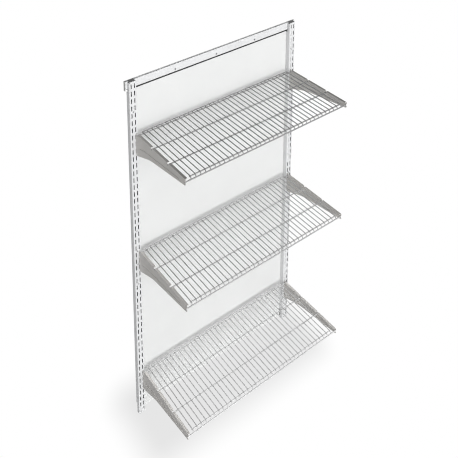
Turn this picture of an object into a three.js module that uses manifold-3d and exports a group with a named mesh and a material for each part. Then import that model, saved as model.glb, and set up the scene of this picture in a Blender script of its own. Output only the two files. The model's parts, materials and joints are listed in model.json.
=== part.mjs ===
// Wall-hung shelving bay: two double-slot uprights hang from a rail, six hooked brackets carry three wire shelves.
// Millimetres. +X is to the right, +Y is towards the wall, +Z is up.
// The origin is the bottom centre of the bounding box.

import * as THREE from "three";
import { mergeVertices } from "three/addons/utils/BufferGeometryUtils.js";
import Module from "manifold-3d";

// Uprights: folded C channels, two sections end to end
const SLOT_PITCH = 32;
const SLOTS_PER_SECTION = 25;
const SECTION_LENGTH = SLOT_PITCH * SLOTS_PER_SECTION;
const UPRIGHT_SPACING = 838;
const FACE_WIDTH = 32;
const CHANNEL_DEPTH = 22;
const SHEET = 1.5;
const BEND_RADIUS = 2.5;
const COLUMN_SPACING = 15;
const SLOT_HEIGHT = 20.5;
const SLOT_WIDTH = 4.2;
const WALL_SCREW_ROWS = [3.5, 20.5];
const END_NOTCH_HEIGHT = 45;

// Back panel and hang rail
const PANEL_THICKNESS = 3;
const PANEL_COVER = 10;
const RAIL_DEPTH = 9;
const RAIL_HEIGHT = 40;
const RAIL_OVERHANG = 7.5;
const RAIL_RISE = 2;
const RAIL_FRONT_DROP = 34;
const RAIL_SCREWS = 5;
const RAIL_SCREW_DROP = 23.5;
const TONGUE_WIDTH = FACE_WIDTH - 2 * BEND_RADIUS;
const TONGUE_DROP = 9;
const CAP_THICKNESS = 2.5;
const CAP_PLUG = 6;
const SEAL_SETBACK = 1;

// Brackets: pressed plates with three hooks and a narrow flange folded inwards along the top
const PLATE = 2;
const FLANGE_WIDTH = 8.5;
const HOOKS = 3;
const BRACKET_HEIGHT = 98;
const BRACKET_REACH = 338;
const NOSE_HEIGHT = 27;
const KNEE_REACH = 102;
const KNEE_DROP = 60;
const HOOK_NECK = 11.5;
const HOOK_TOOTH_DEPTH = 3.2;
const HOOK_TOOTH_DROP = 6;
const TILT = THREE.MathUtils.degToRad(1);
// Each bracket's top edge lies on the bridge below this slot, counted from the top
const SHELF_ROWS = { top: 7, middle: 24, bottom: 43 };

// Wire shelves
const DECK_WIRES = 36;
const DECK_WIDTH = 768;
const DECK_WIRE = 4;
const LONG_WIRE = 5.2;
const DECK_DROP = 3.8;
const BACK_WIRE = 3;
const DECK_WIRE_START = 6;
const SUPPORTS = [10, 114.5, 225];
const FRONT_WIRE = 323;
const LIP_WIRE = 333;
const LIP_WIRE_DROP = 14.5;
const WIRE_OVERHANG = 2.5;

const GAP = 0.3;

// Derived places
const FACE_FROM_WALL = PANEL_THICKNESS + CHANNEL_DEPTH;
const TOTAL_DEPTH = FACE_FROM_WALL + tilted(BRACKET_REACH, -LIP_WIRE_DROP - 7)[0];
const WALL_Y = TOTAL_DEPTH / 2;
const FACE_Y = WALL_Y - FACE_FROM_WALL;
const UPRIGHT_X = UPRIGHT_SPACING / 2;
const BRACKET_X = UPRIGHT_X - COLUMN_SPACING / 2;
const UPRIGHT_HEIGHT = 2 * SECTION_LENGTH;
const RAIL_TOP = UPRIGHT_HEIGHT + RAIL_RISE;
const RAIL_BOTTOM = RAIL_TOP - RAIL_HEIGHT;
const SUPPORT_DROP = DECK_DROP + (DECK_WIRE + LONG_WIRE) / 2 - GAP;
const FRAME_SPLICE_ROWS = [SECTION_LENGTH + SLOT_PITCH, SECTION_LENGTH - SLOT_PITCH];

const wasm = await Module();
wasm.setup();

const finishes = {
  coat: { color: 0xd2d2d0, roughness: 0.42, metalness: 0.35 },
  plate: { color: 0xb4b2ae, roughness: 0.45, metalness: 0.4 },
  wire: { color: 0xbfc0bf, roughness: 0.35, metalness: 0.5 },
  panel: { color: 0xe9e9e7, roughness: 0.7, metalness: 0 },
  cap: { color: 0x9a9a98, roughness: 0.6, metalness: 0 },
  seal: { color: 0x2c2c2c, roughness: 0.8, metalness: 0 },
  zinc: { color: 0x8f9091, roughness: 0.4, metalness: 0.8 },
};

const unit = new THREE.Group();

function addPiece(name, geometry, finish, place = [0, 0, 0], tilt = 0) {
  const mesh = new THREE.Mesh(geometry, new THREE.MeshStandardMaterial(finishes[finish]));
  mesh.name = name;
  mesh.position.set(...place);
  mesh.rotation.x = tilt;
  unit.add(mesh);
}

function toSolid(geometry) {
  const bare = geometry.clone();
  bare.deleteAttribute("normal");
  bare.deleteAttribute("uv");
  const merged = mergeVertices(bare, 1e-4);
  const vertProperties = merged.attributes.position.array;
  const triVerts = Uint32Array.from(merged.index.array);
  return new wasm.Manifold(new wasm.Mesh({ numProp: 3, vertProperties, triVerts }));
}

function toGeometry(solid) {
  const mesh = solid.getMesh();
  const geometry = new THREE.BufferGeometry();
  geometry.setAttribute("position", new THREE.BufferAttribute(Float32Array.from(mesh.vertProperties), 3));
  geometry.setIndex(new THREE.BufferAttribute(Uint32Array.from(mesh.triVerts), 1));
  geometry.computeVertexNormals();
  return geometry;
}

function span(a, b) {
  return [Math.min(a, b), Math.max(a, b)];
}

function box(x0, x1, y0, y1, z0, z1) {
  const geometry = new THREE.BoxGeometry(x1 - x0, y1 - y0, z1 - z0);
  geometry.translate((x0 + x1) / 2, (y0 + y1) / 2, (z0 + z1) / 2);
  return toSolid(geometry);
}

// A round bar or cone along Y, from radius r0 at y0 to radius r1 at y1
function barY(x, z, y0, r0, y1, r1, sides = 8) {
  const geometry = new THREE.CylinderGeometry(r1, r0, y1 - y0, sides);
  geometry.translate(x, (y0 + y1) / 2, 0);
  geometry.translate(0, 0, z);
  return toSolid(geometry);
}

function outline(points) {
  return new THREE.Shape(points.map(([a, b]) => new THREE.Vector2(a, b)));
}

// A plate whose outline is drawn as [forward, up], standing across X from x0 to x1
function standingPlate(shape, x0, x1, curveSegments = 6) {
  const geometry = new THREE.ExtrudeGeometry(shape, { depth: x1 - x0, bevelEnabled: false, curveSegments });
  const forward = new THREE.Vector3(0, -1, 0);
  const up = new THREE.Vector3(0, 0, 1);
  const across = new THREE.Vector3(-1, 0, 0);
  geometry.applyMatrix4(new THREE.Matrix4().makeBasis(forward, up, across));
  geometry.translate(x1, 0, 0);
  return toSolid(geometry);
}

// Uprights. Local frame: front face on y = 0, lower end on z = 0.

function channelShape(width, depth, radius) {
  const half = width / 2;
  const shape = new THREE.Shape();
  shape.moveTo(-half, depth);
  shape.lineTo(-half, radius);
  shape.absarc(-half + radius, radius, radius, Math.PI, 1.5 * Math.PI, false);
  shape.lineTo(half - radius, 0);
  shape.absarc(half - radius, radius, radius, 1.5 * Math.PI, 2 * Math.PI, false);
  shape.lineTo(half, depth);
  shape.lineTo(half - SHEET, depth);
  shape.lineTo(half - SHEET, SHEET);
  shape.lineTo(-half + SHEET, SHEET);
  shape.lineTo(-half + SHEET, depth);
  return shape;
}

function channel(width, depth, length, radius) {
  const shape = channelShape(width, depth, radius);
  return toSolid(new THREE.ExtrudeGeometry(shape, { depth: length, bevelEnabled: false, curveSegments: 3 }));
}

function rowHeight(row) {
  return SECTION_LENGTH - SLOT_PITCH * (row + 0.5);
}

function screwSeat(z) {
  return barY(0, z, -GAP, SCREW.headRadius + 2 * GAP, SHEET + GAP, SCREW.shankRadius + GAP);
}

function endNotch(z0, z1) {
  const depth = RAIL_DEPTH - PANEL_THICKNESS + 2 * GAP;
  return box(-FACE_WIDTH, FACE_WIDTH, CHANNEL_DEPTH - depth, CHANNEL_DEPTH + 1, z0, z1);
}

// The tongue rises from the web, roofs the channel, crosses the rail's front lip and hooks down behind it
function hangTongue() {
  const lipFront = FACE_FROM_WALL - RAIL_DEPTH;
  const lipBack = lipFront + SHEET;
  const over = SECTION_LENGTH + RAIL_RISE + GAP;
  const half = TONGUE_WIDTH / 2;
  const riser = box(-half, half, 0, SHEET, SECTION_LENGTH - 1, over + SHEET);
  const bridge = box(-half, half, 0, lipBack + GAP + SHEET, over, over + SHEET);
  const hook = box(-half, half, lipBack + GAP, lipBack + GAP + SHEET, over - TONGUE_DROP, over + SHEET);
  return riser.add(bridge).add(hook);
}

function uprightSection(isUpper) {
  let body = channel(FACE_WIDTH, CHANNEL_DEPTH, SECTION_LENGTH, BEND_RADIUS);
  const spliceRow = isUpper ? SLOTS_PER_SECTION - 1.5 : 0.5;
  for (const row of [...WALL_SCREW_ROWS, spliceRow]) {
    body = body.subtract(screwSeat(rowHeight(row)));
  }
  for (let row = 0; row < SLOTS_PER_SECTION; row += 1) {
    for (const side of [-1, 1]) {
      const x = (side * COLUMN_SPACING) / 2;
      const z = rowHeight(row);
      const half = SLOT_HEIGHT / 2;
      body = body.subtract(box(x - SLOT_WIDTH / 2, x + SLOT_WIDTH / 2, -1, SHEET + 1, z - half, z + half));
    }
  }
  if (isUpper) {
    body = body.subtract(endNotch(SECTION_LENGTH - END_NOTCH_HEIGHT, SECTION_LENGTH + 1));
    body = body.add(hangTongue());
  } else {
    body = body.subtract(endNotch(-1, END_NOTCH_HEIGHT));
  }
  return toGeometry(body);
}

// Countersunk screws. Local frame: head top on y = 0, shank towards +Y.
const SCREW = { headRadius: 3.6, headDepth: 1.7, shankRadius: 2 };

function countersunkScrew(length) {
  const profile = [
    new THREE.Vector2(0, 0),
    new THREE.Vector2(SCREW.headRadius, 0),
    new THREE.Vector2(SCREW.shankRadius, SCREW.headDepth),
    new THREE.Vector2(SCREW.shankRadius, length - SCREW.shankRadius),
    new THREE.Vector2(0, length),
  ];
  return new THREE.LatheGeometry(profile, 10);
}

function panScrew(length) {
  const profile = [
    new THREE.Vector2(0, -2.4),
    new THREE.Vector2(2.2, -2.2),
    new THREE.Vector2(3.5, -0.9),
    new THREE.Vector2(3.5, 0),
    new THREE.Vector2(SCREW.shankRadius, 0),
    new THREE.Vector2(SCREW.shankRadius, length),
    new THREE.Vector2(0, length),
  ];
  return new THREE.LatheGeometry(profile, 10);
}

// The splice is a smaller channel nested in the uprights behind the bracket hooks
const SPLICE_LENGTH = 160;
const SPLICE_SETBACK = 6.4;
const SPLICE_DEPTH = 14;

function splice() {
  let body = channel(FACE_WIDTH - 2 * SHEET - 3 * GAP, SPLICE_DEPTH, SPLICE_LENGTH, SHEET);
  for (const row of FRAME_SPLICE_ROWS) {
    const z = row - SECTION_LENGTH + SPLICE_LENGTH / 2;
    body = body.subtract(barY(0, z, -1, SCREW.shankRadius + GAP, SHEET + 1, SCREW.shankRadius + GAP));
  }
  return toGeometry(body);
}

// Hang rail. Local frame: back on y = 0, top edge on z = 0, front towards -Y.

const RAIL_HALF = UPRIGHT_X + FACE_WIDTH / 2 + RAIL_OVERHANG;

function hangRail() {
  const shape = outline([
    [0, 0],
    [0, -RAIL_HEIGHT],
    [SHEET, -RAIL_HEIGHT],
    [SHEET, -RAIL_FRONT_DROP],
    [RAIL_DEPTH - SHEET, -RAIL_FRONT_DROP],
    [RAIL_DEPTH, -RAIL_FRONT_DROP + SHEET],
    [RAIL_DEPTH, 0],
    [RAIL_DEPTH - SHEET, 0],
    [RAIL_DEPTH - SHEET, -RAIL_FRONT_DROP + SHEET],
    [SHEET, -RAIL_FRONT_DROP + SHEET],
    [SHEET, 0],
  ]);
  let body = standingPlate(shape, -RAIL_HALF, RAIL_HALF);
  for (const x of railScrewPlaces()) {
    const access = SCREW.headRadius + GAP;
    const bore = SCREW.shankRadius + GAP;
    body = body.subtract(barY(x, -RAIL_SCREW_DROP, -RAIL_DEPTH - 1, access, -RAIL_DEPTH + SHEET + 1, access));
    body = body.subtract(barY(x, -RAIL_SCREW_DROP, -SHEET - 1, bore, 1, bore));
  }
  return toGeometry(body);
}

// An end cap covers the rail's end, with a plug that sits in its trough
function railCap(side) {
  const plugFront = -RAIL_DEPTH + SHEET + GAP;
  const plugFoot = -RAIL_FRONT_DROP + SHEET + GAP;
  const cover = box(...span(0, side * CAP_THICKNESS), -RAIL_DEPTH, 0, -RAIL_HEIGHT, 0);
  const plug = box(...span(-side * CAP_PLUG, side), plugFront, -SHEET - GAP, plugFoot, -GAP);
  return toGeometry(cover.add(plug));
}

// A dark strip fills the recess under the rail's front, between the uprights
function railSeal() {
  const half = UPRIGHT_X - FACE_WIDTH / 2 - GAP;
  const front = -RAIL_DEPTH + SEAL_SETBACK;
  return toGeometry(box(-half, half, front, -SHEET - GAP, -RAIL_HEIGHT, -RAIL_FRONT_DROP - GAP));
}

function railScrewPlaces() {
  const step = UPRIGHT_SPACING / (RAIL_SCREWS - 1);
  return Array.from({ length: RAIL_SCREWS }, (_, i) => -UPRIGHT_X + i * step);
}

function uprightScrewHeights() {
  const upper = WALL_SCREW_ROWS.map((row) => SECTION_LENGTH + rowHeight(row));
  const lower = WALL_SCREW_ROWS.map((row) => rowHeight(row));
  return [...upper, ...lower];
}

// Back panel. Local frame: back on y = 0, front towards -Y.

function backPanel() {
  const half = UPRIGHT_X + PANEL_COVER;
  let body = box(-half, half, -PANEL_THICKNESS, 0, 0, RAIL_BOTTOM - 2 * GAP);
  for (const side of [-1, 1]) {
    for (const z of uprightScrewHeights()) {
      const bore = SCREW.shankRadius + 2 * GAP;
      body = body.subtract(barY(side * UPRIGHT_X, z, -PANEL_THICKNESS - 1, bore, 1, bore));
    }
  }
  return toGeometry(body);
}

// Brackets. Local frame: upright's front face on y = 0, top edge starts on z = 0, plate centred on x = 0.

function tilted(forward, up) {
  const c = Math.cos(TILT);
  const s = Math.sin(TILT);
  return [forward * c - up * s, forward * s + up * c];
}

// A notch opens upwards and flares forward, so that a wire can swing out of it
const NOTCH_HALF = LONG_WIRE / 2 + GAP;
const NOTCH_FLARE = { back: 1, front: 2 };

function wireNotch(forward) {
  const floor = -SUPPORT_DROP - NOTCH_HALF;
  return [
    tilted(forward - NOTCH_HALF - NOTCH_FLARE.back, 0),
    tilted(forward - NOTCH_HALF, floor / 2),
    tilted(forward - NOTCH_HALF, floor),
    tilted(forward + NOTCH_HALF, floor),
    tilted(forward + NOTCH_HALF + 0.3, floor + 4),
    tilted(forward + NOTCH_HALF + NOTCH_FLARE.front, 0),
  ];
}

function hookPoints(index) {
  const slot = -SLOT_PITCH * (index + 0.5);
  const floor = slot - SLOT_HEIGHT / 2 + GAP / 2;
  const behindWeb = -SHEET - GAP;
  return [
    [GAP, floor],
    [behindWeb, floor],
    [behindWeb, floor - HOOK_TOOTH_DROP],
    [behindWeb - HOOK_TOOTH_DEPTH, floor - HOOK_TOOTH_DROP],
    [behindWeb - HOOK_TOOTH_DEPTH, floor + HOOK_NECK - 3],
    [behindWeb, floor + HOOK_NECK],
    [GAP, floor + HOOK_NECK],
  ];
}

// The wire seat in the nose opens forward, and holds the shelf's lip wire as a pivot
function noseSeat() {
  const radius = LONG_WIRE / 2 + GAP + 0.1;
  const steps = 6;
  const points = [];
  for (let i = 0; i <= steps; i += 1) {
    const angle = (0.5 + i / steps) * Math.PI;
    const forward = LIP_WIRE + radius * Math.cos(angle);
    points.push(tilted(forward, -LIP_WIRE_DROP + radius * Math.sin(angle)));
  }
  return points;
}

function kneeCurve() {
  const foot = new THREE.Vector2(GAP + 12, -BRACKET_HEIGHT + 3);
  const knee = new THREE.Vector2(KNEE_REACH, -KNEE_DROP);
  const toe = new THREE.Vector2(...tilted(BRACKET_REACH - 8, -NOSE_HEIGHT));
  const before = knee.clone().lerp(foot, 0.22);
  const after = knee.clone().lerp(toe, 0.09);
  const bend = new THREE.QuadraticBezierCurve(before, knee, after);
  return bend.getPoints(5).reverse().map((point) => [point.x, point.y]);
}

function bracketShape() {
  const points = [[GAP, -2]];
  points.push([2, 0]);
  for (const forward of SUPPORTS) {
    points.push(...wireNotch(forward));
  }
  points.push(tilted(BRACKET_REACH - 4, 0));
  points.push(tilted(BRACKET_REACH - 1, -1.5));
  points.push(tilted(BRACKET_REACH, -5));
  points.push(tilted(BRACKET_REACH - 1, -9));
  points.push(tilted(LIP_WIRE + 1, -LIP_WIRE_DROP + 3.2));
  points.push(...noseSeat());
  points.push(tilted(LIP_WIRE + 1, -LIP_WIRE_DROP - 3.2));
  points.push(tilted(BRACKET_REACH - 1, -LIP_WIRE_DROP - 4.5));
  points.push(tilted(BRACKET_REACH, -LIP_WIRE_DROP - 7));
  points.push(tilted(BRACKET_REACH - 2, -NOSE_HEIGHT + 3));
  points.push(tilted(BRACKET_REACH - 6, -NOSE_HEIGHT));
  points.push(...kneeCurve());
  points.push([GAP + 12, -BRACKET_HEIGHT + 3]);
  points.push([GAP + 3, -BRACKET_HEIGHT]);
  points.push([GAP, -BRACKET_HEIGHT + 2]);
  for (let i = HOOKS - 1; i >= 0; i -= 1) {
    points.push(...hookPoints(i));
  }
  return outline(points.reverse());
}

// The pressed rib: a long bead that stands out on one face and is hollow on the other
function ribShape(inset) {
  return outline([
    [22 + 2 * inset, -56],
    [60, -44 - inset],
    [292, -15.5 - inset],
    [297 - inset, -18.5],
    [292, -21.5 + inset],
    [120, -43 + inset],
    [62, -55 + inset],
  ].reverse());
}

// The flange along the top edge runs from notch to notch and on to the nose
function topFlange(side) {
  const ends = [...SUPPORTS.slice(1).map((forward) => forward - NOTCH_HALF - NOTCH_FLARE.back), BRACKET_REACH - 4];
  const across = span(-side * (PLATE / 2 + FLANGE_WIDTH), 0);
  const strips = SUPPORTS.map((forward, i) => {
    const start = forward + NOTCH_HALF + NOTCH_FLARE.front;
    const corners = [[start, -PLATE], [ends[i], -PLATE], [ends[i], 0], [start, 0]];
    return standingPlate(outline(corners.map(([along, up]) => tilted(along, up))), ...across);
  });
  return strips[0].add(strips[1]).add(strips[2]);
}

function bracket(side) {
  const half = PLATE / 2;
  const beadHeight = 1.4;
  let body = standingPlate(bracketShape(), -half, half).add(topFlange(side));
  const outward = side * half;
  const beadEnds = span(outward - side * 0.5, outward + side * beadHeight);
  body = body.add(standingPlate(ribShape(0), ...beadEnds));
  const hollowEnds = span(-outward - side, -outward + side * beadHeight);
  body = body.subtract(standingPlate(ribShape(1.4), ...hollowEnds));
  for (let i = 0; i < HOOKS; i += 1) {
    const z = -SLOT_PITCH * (i + 0.5);
    body = body.subtract(barXAcross(9, z));
  }
  return toGeometry(body);
}

// A small punched hole through a bracket plate
function barXAcross(forward, z) {
  const geometry = new THREE.CylinderGeometry(1.8, 1.8, 2 * PLATE, 8);
  geometry.rotateZ(Math.PI / 2);
  geometry.translate(0, -forward, z);
  return toSolid(geometry);
}

// Wire shelves. Local frame: same origin as the brackets at x = 0, before the shelf is tilted.

// A wire along X, with a ridge on top where deck wires cross it and a flat on top elsewhere
function longWire(forward, drop, halfLength, sides, ridgeUp) {
  const geometry = new THREE.CylinderGeometry(LONG_WIRE / 2, LONG_WIRE / 2, 2 * halfLength, sides);
  geometry.rotateY(ridgeUp ? 0 : Math.PI / sides);
  geometry.rotateZ(Math.PI / 2);
  geometry.translate(0, -forward, -drop);
  return toSolid(geometry);
}

// A deck wire runs over the supports, then bends down to the lip wire
function deckWire(x, start) {
  const half = DECK_WIRE / 2;
  const top = -DECK_DROP + half;
  const shape = outline([
    [start, top],
    [start, top - DECK_WIRE],
    [FRONT_WIRE + 3.5, top - DECK_WIRE],
    [LIP_WIRE - half, -LIP_WIRE_DROP],
    [LIP_WIRE + half * 0.8, -LIP_WIRE_DROP],
    [FRONT_WIRE + 5.5, top],
  ]);
  return standingPlate(shape, x - half * 0.9, x + half * 0.9);
}

function wireShelf() {
  const reach = BRACKET_X + PLATE / 2 + WIRE_OVERHANG;
  const deckHalf = DECK_WIDTH / 2 + DECK_WIRE / 2;
  let body = longWire(BACK_WIRE, DECK_DROP, deckHalf, 6, false);
  body = body.add(longWire(LIP_WIRE, LIP_WIRE_DROP, reach, 8, false));
  const step = DECK_WIDTH / (DECK_WIRES - 1);
  const supports = SUPPORTS.map((forward) => longWire(forward, SUPPORT_DROP, reach, 6, true));
  supports.push(longWire(FRONT_WIRE, SUPPORT_DROP, deckHalf, 6, true));
  for (let i = 0; i < DECK_WIRES; i += 1) {
    const isOutermost = i === 0 || i === DECK_WIRES - 1;
    body = body.add(deckWire(-DECK_WIDTH / 2 + i * step, isOutermost ? BACK_WIRE : DECK_WIRE_START));
  }
  for (const support of supports) {
    body = body.add(support);
  }
  return toGeometry(body);
}

// Assembly

function addUprights() {
  const upper = uprightSection(true);
  const lower = uprightSection(false);
  const joiner = splice();
  const wallScrew = countersunkScrew(FACE_FROM_WALL - GAP);
  const joinerScrew = countersunkScrew(SPLICE_SETBACK + 6);
  for (const [name, side] of [["left", -1], ["right", 1]]) {
    const x = side * UPRIGHT_X;
    addPiece(`upright_${name}_upper`, upper, "coat", [x, FACE_Y, SECTION_LENGTH]);
    addPiece(`upright_${name}_lower`, lower, "coat", [x, FACE_Y, 0]);
    const spliceZ = SECTION_LENGTH - SPLICE_LENGTH / 2;
    addPiece(`splice_${name}`, joiner, "coat", [x, FACE_Y + SPLICE_SETBACK, spliceZ]);
    uprightScrewHeights().forEach((z, i) => {
      addPiece(`upright_${name}_screw_${i + 1}`, wallScrew, "zinc", [x, FACE_Y, z]);
    });
    FRAME_SPLICE_ROWS.forEach((z, i) => {
      addPiece(`splice_${name}_screw_${i + 1}`, joinerScrew, "zinc", [x, FACE_Y, z]);
    });
  }
}

function addBackFrame() {
  addPiece("hang_rail", hangRail(), "coat", [0, WALL_Y, RAIL_TOP]);
  addPiece("rail_seal", railSeal(), "seal", [0, WALL_Y, RAIL_TOP]);
  for (const [name, side] of [["left", -1], ["right", 1]]) {
    addPiece(`rail_cap_${name}`, railCap(side), "cap", [side * (RAIL_HALF + GAP), WALL_Y, RAIL_TOP]);
  }
  addPiece("back_panel", backPanel(), "panel", [0, WALL_Y, 0]);
  const screw = panScrew(SHEET - GAP);
  railScrewPlaces().forEach((x, i) => {
    const place = [x, WALL_Y - SHEET - 0.1, RAIL_TOP - RAIL_SCREW_DROP];
    addPiece(`rail_screw_${i + 1}`, screw, "zinc", place);
  });
}

function addShelves() {
  const leftBracket = bracket(-1);
  const rightBracket = bracket(1);
  const shelf = wireShelf();
  for (const [level, row] of Object.entries(SHELF_ROWS)) {
    const z = UPRIGHT_HEIGHT - SLOT_PITCH * row;
    addPiece(`bracket_${level}_left`, leftBracket, "plate", [-BRACKET_X, FACE_Y, z]);
    addPiece(`bracket_${level}_right`, rightBracket, "plate", [BRACKET_X, FACE_Y, z]);
    addPiece(`shelf_${level}`, shelf, "wire", [0, FACE_Y, z], -TILT);
  }
}

addBackFrame();
addUprights();
addShelves();

export default unit;
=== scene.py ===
"""Looks for the wall-hung wire shelving unit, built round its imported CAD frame.

Places are in metres, +Z is up and +Y is towards the wall. Constants say where they are in millimetres.
"""

import json
import math

import bmesh
import bpy
from mathutils import Matrix, Vector


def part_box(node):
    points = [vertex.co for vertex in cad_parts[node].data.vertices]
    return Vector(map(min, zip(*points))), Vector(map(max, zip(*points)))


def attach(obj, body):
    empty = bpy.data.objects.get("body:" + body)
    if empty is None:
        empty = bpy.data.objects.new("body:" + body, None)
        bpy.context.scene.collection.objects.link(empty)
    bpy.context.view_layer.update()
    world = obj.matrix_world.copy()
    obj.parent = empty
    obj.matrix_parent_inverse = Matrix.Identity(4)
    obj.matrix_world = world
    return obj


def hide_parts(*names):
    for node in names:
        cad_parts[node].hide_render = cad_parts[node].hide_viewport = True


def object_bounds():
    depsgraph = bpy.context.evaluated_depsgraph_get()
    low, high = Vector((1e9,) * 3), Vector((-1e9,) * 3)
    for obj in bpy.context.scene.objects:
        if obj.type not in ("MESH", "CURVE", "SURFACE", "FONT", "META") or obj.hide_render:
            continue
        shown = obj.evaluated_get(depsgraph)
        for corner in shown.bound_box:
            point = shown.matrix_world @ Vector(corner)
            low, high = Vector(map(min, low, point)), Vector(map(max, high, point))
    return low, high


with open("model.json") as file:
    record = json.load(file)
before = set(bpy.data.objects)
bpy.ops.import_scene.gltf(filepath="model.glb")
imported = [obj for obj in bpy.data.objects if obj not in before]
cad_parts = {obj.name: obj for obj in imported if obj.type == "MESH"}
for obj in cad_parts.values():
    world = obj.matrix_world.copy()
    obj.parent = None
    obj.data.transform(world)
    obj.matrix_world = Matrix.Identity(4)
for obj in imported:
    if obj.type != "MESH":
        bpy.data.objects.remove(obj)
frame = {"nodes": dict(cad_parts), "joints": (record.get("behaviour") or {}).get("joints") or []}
cad_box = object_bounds()

MM = 0.001
LEVELS = ("top", "middle", "bottom")

# Wire shelf sizes, in millimetres.
# Forward runs out from the uprights, and drop runs down from the bracket's top edge.
TILT = math.radians(1)
DECK_WIRES = 36
DECK_WIDTH = 768
DECK_WIRE_RADIUS = 2.0
LONG_WIRE_RADIUS = 2.5
DECK_DROP = 3.8
SUPPORT_DROP = 8.1
BACK_WIRE = 3
DECK_WIRE_START = 6
SUPPORTS = (10, 114.5, 225)
FRONT_WIRE = 323
LIP_WIRE = 333
LIP_DROP = 14.5
CORNER_RADIUS = 5
BRACKET_SPACING = 823
WIRE_OVERHANG = 2.2
WELD_HALF_SIZE = (2.3, 2.9, 1.3)
DECK_SIDES = 10
LONG_SIDES = 14

# Where a deck wire bends down at the front, in millimetres:
# (forward of the front wire, further down than the deck)
LEG_BEND = ((2.5, 0), (5.2, 1.6))
LEG_END_RISE = 1

# The domed end of a wire: (distance from its tip, ring radius), both as shares of the wire's radius
DOME = ((0.15, 0.55), (0.45, 0.9), (0.9, 1))

# Screws, in millimetres. The recess narrows to a share of its size, and each head is turned its own way.
HEAD_SEGMENTS = 28
HEAD_RADIUS = 3.3
HEAD_RIM = 3.55
SHANK_RADIUS = 2.0
PAN_HEIGHT = 2.4
RECESS_LENGTH = 3.9
RECESS_WIDTH = 0.85
RECESS_DEPTH = 1.7
RECESS_LEAD = 0.5
RECESS_TAPER = 0.45
HEAD_TURN = 0.7

# The unit's places that the looks are worked out from, in metres
UPRIGHT_WIDTH = 32 * MM
FACE_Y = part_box("upright_left_lower")[0].y
UPRIGHT_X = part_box("upright_right_lower")[1].x - UPRIGHT_WIDTH / 2

# Camera, in metres: a shifted lens keeps the uprights almost parallel.
# The shift holds only while the camera stands within the home window of its own place.
CAMERA_PLACE = (-1.65867, FACE_Y - 2.12104, 3.08374)
CAMERA_YAW = math.radians(33.93)
CAMERA_PITCH = math.radians(13.29)
CAMERA_ROLL = math.radians(-0.88)
CAMERA_LENS = 55.763
CAMERA_SHIFT = (0.1298, -0.8212)
HOME_WINDOW = 0.015
CAMERA_FAR_LIMIT = 60
PIXEL_FILTER = 1.1

# Studio: how bright the walls and ceiling light the unit, and the upward slope between which they blend
WALL_LIGHT = 0.86
CEILING_LIGHT = 0.02
WALL_UP_TO = 0.05
CEILING_FROM = 0.65

# The floor, and the contact shade that is painted on it, in metres.
# The brightness is what is left of the white in the middle of the shade.
FLOOR_HALF = 14
FLOOR_GAP = 2 * MM
SHADE_CENTRE = (-0.01, FACE_Y - 0.05)
SHADE_HALF_WIDTH = 0.4
SHADE_HALF_DEPTH = 0.095
SHADE_FADE = 0.19
SHADE_BRIGHTNESS = 0.79

# Painted shade changes with height between the bottom and the top shelf
BOTTOM_SHELF_Z = 0.224
TOP_SHELF_Z = 1.376

# Surface detail: scales of the coat's noises, how much lighter worn edges are, the height of its orange
# peel and of the zinc's grain, the reach of edge wear, and the angle from which an edge is rounded
DRIFT_SCALE = 7
WEAR_SCALE = 130
GLOSS_SCALE = 45
WEAR_LIGHTENING = 1.18
GRAIN_DEPTH = 0.04 * MM
ZINC_GRAIN_DEPTH = 0.03 * MM
EDGE_REACH = 0.7 * MM
SHARP_EDGE = math.radians(40)

# Painted shade inside the uprights: half the clear width, how far behind the face the shade starts,
# the height above which there is none, and how much of the colour is left
CHANNEL_INSIDE = 14.6 * MM
FACE_SKIN = 0.4 * MM
SHADE_TOP = 1.588
INSIDE_SHADE = 0.12


# Materials

def new_material(name):
    material = bpy.data.materials.new(name)
    material.use_nodes = True
    nodes = material.node_tree.nodes
    return material, nodes, material.node_tree.links, nodes["Principled BSDF"]


def add_noise(nodes, links, scale, detail=3.0):
    place = nodes.new("ShaderNodeTexCoord")
    noise = nodes.new("ShaderNodeTexNoise")
    noise.inputs["Scale"].default_value = scale
    noise.inputs["Detail"].default_value = detail
    links.new(place.outputs["Object"], noise.inputs["Vector"])
    return noise.outputs["Fac"]


def remap(nodes, links, value, low, high, from_low=0.3, from_high=0.7):
    node = nodes.new("ShaderNodeMapRange")
    node.inputs["From Min"].default_value = from_low
    node.inputs["From Max"].default_value = from_high
    node.inputs["To Min"].default_value = low
    node.inputs["To Max"].default_value = high
    links.new(value, node.inputs["Value"])
    return node.outputs["Result"]


def mix_colour(nodes, links, factor, first, second):
    node = nodes.new("ShaderNodeMix")
    node.data_type = "RGBA"
    links.new(factor, node.inputs["Factor"])
    for colour, socket in ((first, node.inputs[6]), (second, node.inputs[7])):
        if isinstance(colour, bpy.types.NodeSocket):
            links.new(colour, socket)
        else:
            socket.default_value = (*colour, 1)
    return node.outputs[2]


def edge_mask(nodes, links):
    """0 on flat faces, rising to 1 where a rounded edge would turn the surface away."""
    bevel = nodes.new("ShaderNodeBevel")
    bevel.samples = 4
    bevel.inputs["Radius"].default_value = EDGE_REACH
    shape = nodes.new("ShaderNodeNewGeometry")
    dot = nodes.new("ShaderNodeVectorMath")
    dot.operation = "DOT_PRODUCT"
    links.new(bevel.outputs["Normal"], dot.inputs[0])
    links.new(shape.outputs["Normal"], dot.inputs[1])
    return remap(nodes, links, dot.outputs["Value"], 1, 0, 0.75, 0.98)


def math_node(nodes, links, operation, first, second=0.0):
    node = nodes.new("ShaderNodeMath")
    node.operation = operation
    for value, socket in zip((first, second), node.inputs):
        if isinstance(value, bpy.types.NodeSocket):
            links.new(value, socket)
        else:
            socket.default_value = value
    return node.outputs[0]


def object_place(nodes, links):
    """The point's own X, Y and Z, as sockets."""
    place = nodes.new("ShaderNodeTexCoord")
    split = nodes.new("ShaderNodeSeparateXYZ")
    links.new(place.outputs["Object"], split.inputs["Vector"])
    return split.outputs


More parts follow.
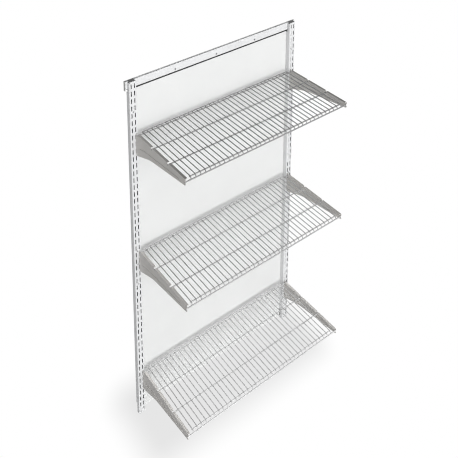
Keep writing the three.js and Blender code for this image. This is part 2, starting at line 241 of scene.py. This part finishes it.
def inside_channel(nodes, links):
    """1 behind an upright's face and between its flanges, below the top, where little light gets in: the
    mask for painted shade.
    """
    place = object_place(nodes, links)
    across = math_node(nodes, links, "ABSOLUTE", place["X"])
    off_centre = math_node(nodes, links, "ABSOLUTE", math_node(nodes, links, "SUBTRACT", across, UPRIGHT_X))
    between = math_node(nodes, links, "LESS_THAN", off_centre, CHANNEL_INSIDE)
    behind = math_node(nodes, links, "GREATER_THAN", place["Y"], FACE_Y + FACE_SKIN)
    below = math_node(nodes, links, "LESS_THAN", place["Z"], SHADE_TOP)
    inside = math_node(nodes, links, "MULTIPLY", between, behind)
    return math_node(nodes, links, "MULTIPLY", inside, below)


def by_height(nodes, links, at_bottom, at_top):
    """A factor that runs from the bottom shelf's height to the top shelf's, for painted shade that changes
    with height.
    """
    height = object_place(nodes, links)["Z"]
    return remap(nodes, links, height, at_bottom, at_top, BOTTOM_SHELF_Z, TOP_SHELF_Z)


def by_facing_up(nodes, links, at_bottom, at_top):
    """A factor that is 1 on upright faces.

    On faces that look up, it runs with height between the given values, as painted shade on the tops.
    """
    shape = nodes.new("ShaderNodeNewGeometry")
    split = nodes.new("ShaderNodeSeparateXYZ")
    links.new(shape.outputs["Normal"], split.inputs["Vector"])
    looks_up = remap(nodes, links, split.outputs["Z"], 0, 1, 0.4, 0.95)
    change = by_height(nodes, links, at_bottom - 1, at_top - 1)
    part_change = math_node(nodes, links, "MULTIPLY", looks_up, change)
    return math_node(nodes, links, "ADD", part_change, 1)


def coat_material(
    name, colour, roughness, metallic=0.0, grain=900, wear=0.25, tint=0.04, heights=(1, 1), on_top=(1, 1)
):
    """Sprayed and baked powder coat: fine orange peel, slow colour drift, and thin coat along the edges.

    The pair called heights scales the colour at the bottom shelf and at the top shelf, and the pair
    called on_top does so on faces that look up; both are painted shade. Inside the uprights' channels
    the colour is darkened as painted shade.
    """
    material, nodes, links, shader = new_material(name)
    tone_and_painted_shade = remap(nodes, links, add_noise(nodes, links, DRIFT_SCALE), 1 - tint, 1 + tint)
    # Painted shade: the colour is scaled with height, and again on faces that look up.
    tone_and_painted_shade = math_node(nodes, links, "MULTIPLY", tone_and_painted_shade, by_height(nodes, links, *heights))
    tone_and_painted_shade = math_node(nodes, links, "MULTIPLY", tone_and_painted_shade, by_facing_up(nodes, links, *on_top))
    base = nodes.new("ShaderNodeVectorMath")
    base.operation = "SCALE"
    base.inputs[0].default_value = colour
    links.new(tone_and_painted_shade, base.inputs["Scale"])
    worn = [min(1, c * WEAR_LIGHTENING) for c in colour]
    edges = edge_mask(nodes, links)
    patches = remap(nodes, links, add_noise(nodes, links, WEAR_SCALE), 0, wear)
    broken = math_node(nodes, links, "MULTIPLY", edges, patches)
    surface = mix_colour(nodes, links, broken, base.outputs["Vector"], worn)
    # Painted shade: inside the uprights' channels the colour is darkened.
    shade = [c * INSIDE_SHADE for c in colour]
    surface = mix_colour(nodes, links, inside_channel(nodes, links), surface, shade)
    links.new(surface, shader.inputs["Base Color"])
    gloss = add_noise(nodes, links, GLOSS_SCALE)
    rough = remap(nodes, links, gloss, roughness - 0.05, roughness + 0.06)
    links.new(rough, shader.inputs["Roughness"])
    shader.inputs["Metallic"].default_value = metallic
    bump = nodes.new("ShaderNodeBump")
    bump.inputs["Distance"].default_value = GRAIN_DEPTH
    bump.inputs["Strength"].default_value = 0.6
    links.new(add_noise(nodes, links, grain, 2), bump.inputs["Height"])
    links.new(bump.outputs["Normal"], shader.inputs["Normal"])
    return material


def zinc_material():
    """Zinc-plated screws: metal with a patchy passivated finish."""
    material, nodes, links, shader = new_material("zinc_plate")
    patches = remap(nodes, links, add_noise(nodes, links, 260), 0, 1)
    surface = mix_colour(nodes, links, patches, (0.50, 0.51, 0.52), (0.66, 0.66, 0.65))
    links.new(surface, shader.inputs["Base Color"])
    shader.inputs["Metallic"].default_value = 0.85
    rough = remap(nodes, links, add_noise(nodes, links, 700), 0.28, 0.46)
    links.new(rough, shader.inputs["Roughness"])
    bump = nodes.new("ShaderNodeBump")
    bump.inputs["Distance"].default_value = ZINC_GRAIN_DEPTH
    links.new(add_noise(nodes, links, 2500, 1), bump.inputs["Height"])
    links.new(bump.outputs["Normal"], shader.inputs["Normal"])
    return material


def floor_material():
    """White paper for the camera, with a soft contact shade at the unit's foot.

    For all other light it is a pale grey floor.
    """
    material, nodes, links, shader = new_material("studio_floor")
    shader.inputs["Base Color"].default_value = (0.8, 0.8, 0.8, 1)
    shader.inputs["Roughness"].default_value = 1
    shader.inputs["Specular IOR Level"].default_value = 0
    place = nodes.new("ShaderNodeNewGeometry")
    split = nodes.new("ShaderNodeSeparateXYZ")
    links.new(place.outputs["Position"], split.inputs["Vector"])
    beyond = []
    for axis, centre, half in zip("XY", SHADE_CENTRE, (SHADE_HALF_WIDTH, SHADE_HALF_DEPTH)):
        away = math_node(nodes, links, "SUBTRACT", split.outputs[axis], centre)
        away = math_node(nodes, links, "ABSOLUTE", away)
        away = math_node(nodes, links, "MAXIMUM", math_node(nodes, links, "SUBTRACT", away, half), 0)
        beyond.append(math_node(nodes, links, "POWER", away, 2))
    off = math_node(nodes, links, "SQRT", math_node(nodes, links, "ADD", *beyond))
    light = remap(nodes, links, off, SHADE_BRIGHTNESS, 1, 0, SHADE_FADE)
    light.node.interpolation_type = "SMOOTHSTEP"
    seen = nodes.new("ShaderNodeEmission")
    links.new(light, seen.inputs["Strength"])
    path = nodes.new("ShaderNodeLightPath")
    mix = nodes.new("ShaderNodeMixShader")
    links.new(path.outputs["Is Camera Ray"], mix.inputs["Fac"])
    links.new(shader.outputs["BSDF"], mix.inputs[1])
    links.new(seen.outputs["Emission"], mix.inputs[2])
    links.new(mix.outputs["Shader"], nodes["Material Output"].inputs["Surface"])
    return material


MATERIALS = {
    # Painted shade: the coat's upward faces are darker, most at the top; the brackets' upward faces are
    # lighter low down and darker high up.
    "coat": coat_material(
        "silver_grey_coat", (0.69, 0.695, 0.70), roughness=0.42, metallic=0.15, on_top=(0.6, 0.3)
    ),
    "plate": coat_material(
        "bracket_coat", (0.55, 0.535, 0.515), roughness=0.45, metallic=0.1, on_top=(1.5, 0.6)
    ),
    # Painted shade: the deck wires' coat is a darker copy of the long wires' coat, for light that only
    # grazes them, and both wires are lighter low down and darker high up.
    "deck": coat_material(
        "deck_wire_coat", (0.34, 0.34, 0.34), roughness=0.4, metallic=0.1, heights=(1.7, 0.78)
    ),
    "wire": coat_material(
        "long_wire_coat", (0.45, 0.45, 0.45), roughness=0.36, metallic=0.1, heights=(1.5, 0.7)
    ),
    "panel": coat_material(
        "panel_coat", (0.645, 0.65, 0.645), roughness=0.6, grain=500, wear=0.1, tint=0.015
    ),
    "cap": coat_material("end_cap_plastic", (0.36, 0.36, 0.35), roughness=0.55, grain=1500, wear=0.15),
    # Painted shade: a near-black strip fills the recess under the rail, standing for the deep shadow there.
    "seal": coat_material("rail_recess_shadow_strip", (0.03, 0.03, 0.03), roughness=0.75, grain=2200, wear=0.1),
    "zinc": zinc_material(),
}


# Mesh helpers

def piece_from(made, name, body, materials):
    mesh = bpy.data.meshes.new(name)
    made.to_mesh(mesh)
    made.free()
    piece = bpy.data.objects.new(name, mesh)
    for material in materials:
        mesh.materials.append(MATERIALS[material])
    bpy.context.scene.collection.objects.link(piece)
    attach(piece, body)
    return piece


def ring_turns(count):
    return [2 * math.pi * k / count for k in range(count)]


def add_tube(made, path, radius, sides, material=0):
    """A closed round wire along a path of points, with domed ends."""
    path = [Vector(point) for point in path]
    rings = []
    side = None
    for i, point in enumerate(path):
        before = path[max(i - 1, 0)]
        after = path[min(i + 1, len(path) - 1)]
        along = (after - before).normalized()
        if side is None:
            side = along.orthogonal()
        side = (side - along * side.dot(along)).normalized()
        other = along.cross(side)
        if i == 0:
            for back, share in DOME:
                rings.append((point + along * radius * back, side, other, radius * share))
        elif i == len(path) - 1:
            for back, share in reversed(DOME):
                rings.append((point - along * radius * back, side, other, radius * share))
        else:
            rings.append((point, side, other, radius))
    loops = []
    for centre, a, b, r in rings:
        offsets = [(a * math.cos(t) + b * math.sin(t)) * r for t in ring_turns(sides)]
        loops.append([made.verts.new(centre + offset) for offset in offsets])
    for first, second in zip(loops, loops[1:]):
        for k in range(sides):
            n = (k + 1) % sides
            face = made.faces.new((first[k], first[n], second[n], second[k]))
            face.material_index = material
            face.smooth = True
    for loop, flipped in ((loops[0], True), (loops[-1], False)):
        face = made.faces.new(loop[::-1] if flipped else loop)
        face.material_index = material
        face.smooth = True


def rounded(path, radius, steps=5):
    """The path with each inner corner replaced by a curve that starts and ends at the radius from it."""
    path = [Vector(point) for point in path]
    points = [path[0]]
    for before, corner, after in zip(path, path[1:], path[2:]):
        start = corner + (before - corner).normalized() * radius
        end = corner + (after - corner).normalized() * radius
        for i in range(steps + 1):
            t = i / steps
            points.append(start * (1 - t) ** 2 + corner * 2 * t * (1 - t) + end * t ** 2)
    points.append(path[-1])
    return points


# Wire shelves

def shelf_place(level):
    """Turns (x, forward, drop) in millimetres into a point of the row frame, at one shelf's level."""
    hinge = next(j for j in frame["joints"] if j["child"] == f"shelf_{level}")
    lip = Vector(hinge["pos_m"])
    c, s = math.cos(TILT), math.sin(TILT)

    def place(x, forward, drop):
        f = (forward - LIP_WIRE) * MM
        u = (LIP_DROP - drop) * MM
        return Vector((x * MM, lip.y - f * c + u * s, lip.z + f * s + u * c))

    return place


def add_weld(made, centre):
    """The small nugget where a deck wire is fused to the wire under it."""
    size = Matrix.Diagonal((*[half * MM for half in WELD_HALF_SIZE], 1))
    bmesh.ops.create_icosphere(made, subdivisions=1, radius=1, matrix=Matrix.Translation(centre) @ size)


def front_leg(place, x):
    """The bend at the front of a deck wire, and its end on the lip wire."""
    bend = [place(x, FRONT_WIRE + forward, DECK_DROP + drop) for forward, drop in LEG_BEND]
    return [*bend, place(x, LIP_WIRE, LIP_DROP - LEG_END_RISE)]


def wire_shelf(level):
    place = shelf_place(level)
    made = bmesh.new()
    half = DECK_WIDTH / 2
    step = DECK_WIDTH / (DECK_WIRES - 1)
    left_start, *left_rest = front_leg(place, -half)
    right_start, *right_rest = front_leg(place, half)
    back_corners = [place(-half, BACK_WIRE, DECK_DROP), place(half, BACK_WIRE, DECK_DROP)]
    rim = rounded([left_start, *back_corners, right_start], CORNER_RADIUS * MM)
    add_tube(made, [*reversed(left_rest), *rim, *right_rest], DECK_WIRE_RADIUS * MM, DECK_SIDES)
    for i in range(1, DECK_WIRES - 1):
        x = -half + i * step
        path = [place(x, DECK_WIRE_START, DECK_DROP), *front_leg(place, x)]
        add_tube(made, path, DECK_WIRE_RADIUS * MM, DECK_SIDES)
    reach = BRACKET_SPACING / 2 + WIRE_OVERHANG
    long_wires = [(forward, SUPPORT_DROP, reach) for forward in SUPPORTS]
    long_wires.append((FRONT_WIRE, SUPPORT_DROP, half + DECK_WIRE_RADIUS))
    long_wires.append((LIP_WIRE, LIP_DROP, reach))
    for forward, drop, end in long_wires:
        path = [place(-end, forward, drop), place(end, forward, drop)]
        add_tube(made, path, LONG_WIRE_RADIUS * MM, LONG_SIDES, material=1)
    for i in range(DECK_WIRES):
        for forward in (*SUPPORTS, FRONT_WIRE):
            add_weld(made, place(-half + i * step, forward, DECK_DROP + DECK_WIRE_RADIUS))
    bmesh.ops.recalc_face_normals(made, faces=made.faces)
    shelf = piece_from(made, f"wire_shelf_{level}", f"shelf_{level}", ("deck", "wire"))
    shelf.data.shade_smooth()
    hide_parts(f"shelf_{level}")


# Screws

def lathe(made, profile):
    """Turns an outline of (radius, y) points about the Y axis."""
    loops = []
    for radius, y in profile:
        if radius == 0:
            loops.append([made.verts.new((0, y, 0))])
            continue
        turns = ring_turns(HEAD_SEGMENTS)
        loops.append([made.verts.new((radius * math.cos(t), y, radius * math.sin(t))) for t in turns])
    for first, second in zip(loops, loops[1:]):
        for k in range(HEAD_SEGMENTS):
            n = (k + 1) % HEAD_SEGMENTS
            near = first if len(first) == 1 else [first[k], first[n]]
            far = second if len(second) == 1 else [second[n], second[k]]
            made.faces.new([*near, *far])
    bmesh.ops.recalc_face_normals(made, faces=made.faces)


def recess_cutter(head_top):
    """A cross-shaped driver recess that starts in front of the head and narrows inwards."""
    made = bmesh.new()
    start = (head_top - RECESS_LEAD) * MM
    for turn in (0, math.pi / 2):
        corners = []
        for y, share in ((start, 1), (start + RECESS_DEPTH * MM, RECESS_TAPER)):
            half_length = RECESS_LENGTH / 2 * share * MM
            half_width = RECESS_WIDTH / 2 * share * MM
            for x, z in ((-1, -1), (1, -1), (1, 1), (-1, 1)):
                point = Vector((x * half_length, y, z * half_width))
                corners.append(made.verts.new(Matrix.Rotation(turn, 3, "Y") @ point))
        near, far = corners[:4], corners[4:]
        made.faces.new(near)
        made.faces.new(far[::-1])
        for k in range(4):
            n = (k + 1) % 4
            made.faces.new((near[k], near[n], far[n], far[k]))
    bmesh.ops.recalc_face_normals(made, faces=made.faces)
    return made


def screw_mesh(name, profile, head_top):
    """A turned screw with a cross recess cut into its head."""
    made = bmesh.new()
    lathe(made, [(radius * MM, y * MM) for radius, y in profile])
    body = bpy.data.objects.new(name, bpy.data.meshes.new(name))
    made.to_mesh(body.data)
    made.free()
    cross = recess_cutter(head_top)
    tool = bpy.data.objects.new(name + "_tool", bpy.data.meshes.new(name + "_tool"))
    cross.to_mesh(tool.data)
    cross.free()
    for item in (body, tool):
        bpy.context.scene.collection.objects.link(item)
    cut = body.modifiers.new("recess", "BOOLEAN")
    cut.object = tool
    cut.solver = "EXACT"
    cut.use_self = True
    bpy.context.view_layer.update()
    result = body.evaluated_get(bpy.context.evaluated_depsgraph_get())
    finished = bpy.data.meshes.new_from_object(result)
    finished.materials.clear()
    finished.materials.append(MATERIALS["zinc"])
    for item in (body, tool):
        bpy.data.objects.remove(item)
    return finished


def countersunk(length, tip_length):
    """Outline of a countersunk screw, in millimetres: (radius, distance behind the head's top)."""
    return [
        (0, 0),
        (HEAD_RADIUS, 0),
        (HEAD_RIM, 0.12),
        (SHANK_RADIUS, 1.7),
        (SHANK_RADIUS, length - tip_length),
        (0, length),
    ]


def pan_head():
    """Outline of a pan-head screw, whose head stands in front of the sheet that it holds."""
    return [
        (0, -PAN_HEIGHT),
        (1.4, -2.35),
        (2.4, -2.05),
        (3.2, -1.3),
        (3.5, -0.5),
        (3.5, 0),
        (SHANK_RADIUS, 0),
        (SHANK_RADIUS, 1.1),
        (0, 1.1),
    ]


def screws():
    kinds = {
        "upright": ("wall_screw", countersunk(24.6, 2), 0),
        "splice": ("splice_screw", countersunk(12.2, 1.2), 0),
        "rail": ("rail_screw", pan_head(), -PAN_HEIGHT),
    }
    meshes = {kind: screw_mesh(*details) for kind, details in kinds.items()}
    for node in sorted(frame["nodes"]):
        if "_screw_" not in node:
            continue
        kind = node.split("_")[0]
        head_top = kinds[kind][2] * MM
        low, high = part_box(node)
        piece = bpy.data.objects.new(f"{node}_head", meshes[kind])
        piece.location = ((low.x + high.x) / 2, low.y - head_top, (low.z + high.z) / 2)
        piece.rotation_euler.y = HEAD_TURN * sum(ord(c) for c in node)
        bpy.context.scene.collection.objects.link(piece)
        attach(piece, "frame")
        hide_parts(node)


# CAD pieces that stay, with rounded edges and real finishes

def dress(node, material, bevel, segments=2):
    """Gives a CAD piece its finish, and rounds its sharp edges by the bevel's width in millimetres."""
    piece = frame["nodes"][node]
    piece.data.materials.clear()
    piece.data.materials.append(MATERIALS[material])
    edge = piece.modifiers.new("edge", "BEVEL")
    edge.width = bevel * MM
    edge.segments = segments
    edge.limit_method = "ANGLE"
    edge.angle_limit = SHARP_EDGE
    edge.harden_normals = True
    piece.data.shade_smooth()


def dress_cad_pieces():
    for side in ("left", "right"):
        for part in ("upper", "lower"):
            dress(f"upright_{side}_{part}", "coat", bevel=0.25)
        dress(f"splice_{side}", "coat", bevel=0.2)
        for level in LEVELS:
            dress(f"bracket_{level}_{side}", "plate", bevel=0.3)
        dress(f"rail_cap_{side}", "cap", bevel=0.6, segments=3)
    dress("hang_rail", "coat", bevel=0.3)
    # The rail's near-black strip is painted shade for the shadow in the recess under the rail.
    dress("rail_seal", "seal", bevel=0.4)
    dress("back_panel", "panel", bevel=0.4)


# Studio

def white_world():
    """White where the camera sees it. What it lights, it lights from all round, with a dark ceiling."""
    world = bpy.data.worlds.new("studio")
    bpy.context.scene.world = world
    world.use_nodes = True
    nodes, links = world.node_tree.nodes, world.node_tree.links
    seen = nodes["Background"]
    seen.inputs["Color"].default_value = (1, 1, 1, 1)
    seen.inputs["Strength"].default_value = 1
    direction = nodes.new("ShaderNodeTexCoord")
    split = nodes.new("ShaderNodeSeparateXYZ")
    links.new(direction.outputs["Generated"], split.inputs["Vector"])
    light = nodes.new("ShaderNodeBackground")
    light.inputs["Color"].default_value = (0.985, 0.99, 1, 1)
    upward = split.outputs["Z"]
    strength = remap(nodes, links, upward, WALL_LIGHT, CEILING_LIGHT, WALL_UP_TO, CEILING_FROM)
    links.new(strength, light.inputs["Strength"])
    path = nodes.new("ShaderNodeLightPath")
    mix = nodes.new("ShaderNodeMixShader")
    links.new(path.outputs["Is Camera Ray"], mix.inputs["Fac"])
    links.new(light.outputs["Background"], mix.inputs[1])
    links.new(seen.outputs["Background"], mix.inputs[2])
    links.new(mix.outputs["Shader"], nodes["World Output"].inputs["Surface"])


def far_light(name, azimuth, elevation, softness, strength):
    """A distant soft light. Azimuth 0 shines from the front, and rises towards the right.

    Angles are in degrees.
    """
    data = bpy.data.lights.new(name, "SUN")
    data.angle = math.radians(softness)
    data.energy = strength
    lamp = bpy.data.objects.new(name, data)
    a, e = math.radians(azimuth), math.radians(elevation)
    source = Vector((math.sin(a) * math.cos(e), -math.cos(a) * math.cos(e), math.sin(e)))
    lamp.rotation_mode = "QUATERNION"
    lamp.rotation_quaternion = source.to_track_quat("Z", "Y")
    bpy.context.scene.collection.objects.link(lamp)


def studio():
    white_world()
    made = bmesh.new()
    bmesh.ops.create_grid(made, x_segments=1, y_segments=1, size=FLOOR_HALF)
    mesh = bpy.data.meshes.new("studio_floor")
    made.to_mesh(mesh)
    made.free()
    mesh.materials.append(floor_material())
    floor = bpy.data.objects.new("studio_floor", mesh)
    floor.location.z = cad_box[0].z - FLOOR_GAP
    bpy.context.scene.collection.objects.link(floor)
    far_light("front", azimuth=-10, elevation=11, softness=50, strength=2.65)
    far_light("high", azimuth=-4, elevation=42, softness=40, strength=1.0)


def place_camera():
    data = bpy.data.cameras.new("view")
    camera = bpy.data.objects.new("view", data)
    forward = Vector((
        math.sin(CAMERA_YAW) * math.cos(CAMERA_PITCH),
        math.cos(CAMERA_YAW) * math.cos(CAMERA_PITCH),
        -math.sin(CAMERA_PITCH),
    ))
    level_right = Vector((math.cos(CAMERA_YAW), -math.sin(CAMERA_YAW), 0))
    level_up = level_right.cross(forward)
    right = level_right * math.cos(CAMERA_ROLL) + level_up * math.sin(CAMERA_ROLL)
    up = right.cross(forward)
    turn = Matrix((right, up, -forward)).transposed()
    camera.matrix_world = Matrix.Translation(CAMERA_PLACE) @ turn.to_4x4()
    data.lens = CAMERA_LENS
    data.clip_end = CAMERA_FAR_LIMIT
    for path, amount in zip(("shift_x", "shift_y"), CAMERA_SHIFT):
        shift_at_home(camera, path, amount)
    bpy.context.scene.collection.objects.link(camera)
    bpy.context.scene.camera = camera


def shift_at_home(camera, path, amount):
    """Shifts the lens only while the camera stands at its own place, so that other views stay centred."""
    curve = camera.data.driver_add(path)
    for modifier in list(curve.modifiers):
        curve.modifiers.remove(modifier)
    curve.driver.type = "SUM"
    variable = curve.driver.variables.new()
    variable.type = "SINGLE_PROP"
    variable.targets[0].id = camera
    variable.targets[0].data_path = "location[0]"
    for off, value in ((-2, 0), (-1, amount), (1, amount), (2, 0)):
        key = curve.keyframe_points.insert(CAMERA_PLACE[0] + off * HOME_WINDOW, value)
        key.interpolation = "LINEAR"


dress_cad_pieces()
screws()
for shelf_level in LEVELS:
    wire_shelf(shelf_level)
studio()
place_camera()
bpy.context.scene.view_settings.view_transform = "Standard"
bpy.context.scene.cycles.filter_width = PIXEL_FILTER
